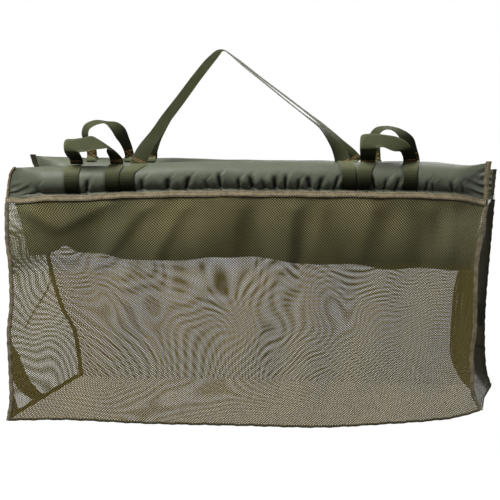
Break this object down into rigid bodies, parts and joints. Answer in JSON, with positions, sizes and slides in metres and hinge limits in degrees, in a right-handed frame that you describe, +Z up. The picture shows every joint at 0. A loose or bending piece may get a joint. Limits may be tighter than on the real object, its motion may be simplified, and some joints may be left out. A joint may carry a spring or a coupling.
{
  "type": "weigh sling",
  "caption": "Floating weigh and retention sling: a mesh bag hung between foam filled sleeves, with carrying handles and lifting loops.",
  "frame": {"origin": "hang point, where the two carrying handles meet over a hook", "axes": "+X along the sleeves to the right seen from the front, -Y to the front, +Z up"},
  "size_m": [1.2697, 0.3286, 0.9309],
  "materials": {
    "coated_cloth": "coated nylon, soft satin sheen",
    "webbing": "fine ribbed webbing",
    "mesh_cloth": "open diamond mesh",
    "flap_cloth": "matt woven cloth",
    "binding": "ribbed tape, stitched",
    "dark_binding": "ribbed tape, stitched",
    "foam": "closed cell foam"
  },
  "bodies": {
    "rear_side": {"rear_float_sleeve": "coated_cloth", "rear_foam_float": "foam", "rear_mesh_panel": "mesh_cloth", "rear_seam_binding": "binding", "rear_left_edge_binding": "dark_binding", "rear_left_sleeve_end_binding": "dark_binding", "rear_right_edge_binding": "dark_binding", "rear_right_sleeve_end_binding": "dark_binding", "rear_handle_left_leg": "webbing", "rear_handle_right_leg": "webbing", "rear_left_loop_left_leg": "webbing", "rear_left_loop_right_leg": "webbing", "rear_right_loop_left_leg": "webbing", "rear_right_loop_right_leg": "webbing", "bottom_mesh_panel": "mesh_cloth", "left_end_gusset": "mesh_cloth", "right_end_gusset": "mesh_cloth", "left_bottom_binding": "dark_binding", "right_bottom_binding": "dark_binding"},
    "rear_handle": {"rear_handle": "webbing"},
    "rear_left_loop": {"rear_left_loop": "webbing"},
    "rear_right_loop": {"rear_right_loop": "webbing"},
    "front_side": {"front_float_sleeve": "coated_cloth", "front_foam_float": "foam", "front_mesh_panel": "mesh_cloth", "front_seam_binding": "binding", "front_left_edge_binding": "binding", "front_left_sleeve_end_binding": "dark_binding", "front_right_edge_binding": "binding", "front_right_sleeve_end_binding": "dark_binding", "front_handle_left_leg": "webbing", "front_handle_right_leg": "webbing", "front_left_loop_left_leg": "webbing", "front_left_loop_right_leg": "webbing", "front_right_loop_left_leg": "webbing", "front_right_loop_right_leg": "webbing"},
    "front_handle": {"front_handle": "webbing"},
    "front_left_loop": {"front_left_loop": "webbing"},
    "front_right_loop": {"front_right_loop": "webbing"},
    "inner_flap": {"inner_closure_flap": "flap_cloth"}
  },
  "joints": [
    {"name": "mouth_opening", "type": "hinge", "parent": "rear_side", "child": "front_side", "pos_m": [0.068, -0.1624, -0.925], "axis": [1, 0, 0], "range_deg": [0, 22], "deforming": ["left_end_gusset", "right_end_gusset"]},
    {"name": "front_handle_fold", "type": "hinge", "parent": "front_side", "child": "front_handle", "pos_m": [0.038, -0.045, -0.271], "axis": [1, 0, 0], "range_deg": [0, 85]},
    {"name": "rear_handle_fold", "type": "hinge", "parent": "rear_side", "child": "rear_handle", "pos_m": [0.071, 0.045, -0.271], "axis": [-1, 0, 0], "range_deg": [0, 85]},
    {"name": "front_left_loop_fold", "type": "hinge", "parent": "front_side", "child": "front_left_loop", "pos_m": [-0.323, -0.045, -0.271], "axis": [1, 0, 0], "range_deg": [-65, 20]},
    {"name": "front_right_loop_fold", "type": "hinge", "parent": "front_side", "child": "front_right_loop", "pos_m": [0.399, -0.045, -0.271], "axis": [1, 0, 0], "range_deg": [-65, 20]},
    {"name": "rear_left_loop_fold", "type": "hinge", "parent": "rear_side", "child": "rear_left_loop", "pos_m": [-0.29, 0.045, -0.271], "axis": [-1, 0, 0], "range_deg": [-10, 75]},
    {"name": "rear_right_loop_fold", "type": "hinge", "parent": "rear_side", "child": "rear_right_loop", "pos_m": [0.432, 0.045, -0.271], "axis": [-1, 0, 0], "range_deg": [-10, 75]},
    {"name": "flap_swing", "type": "hinge", "parent": "front_side", "child": "inner_flap", "pos_m": [0.068, -0.045, -0.3576], "axis": [1, 0, 0], "range_deg": [-4, 35]}
  ]
}
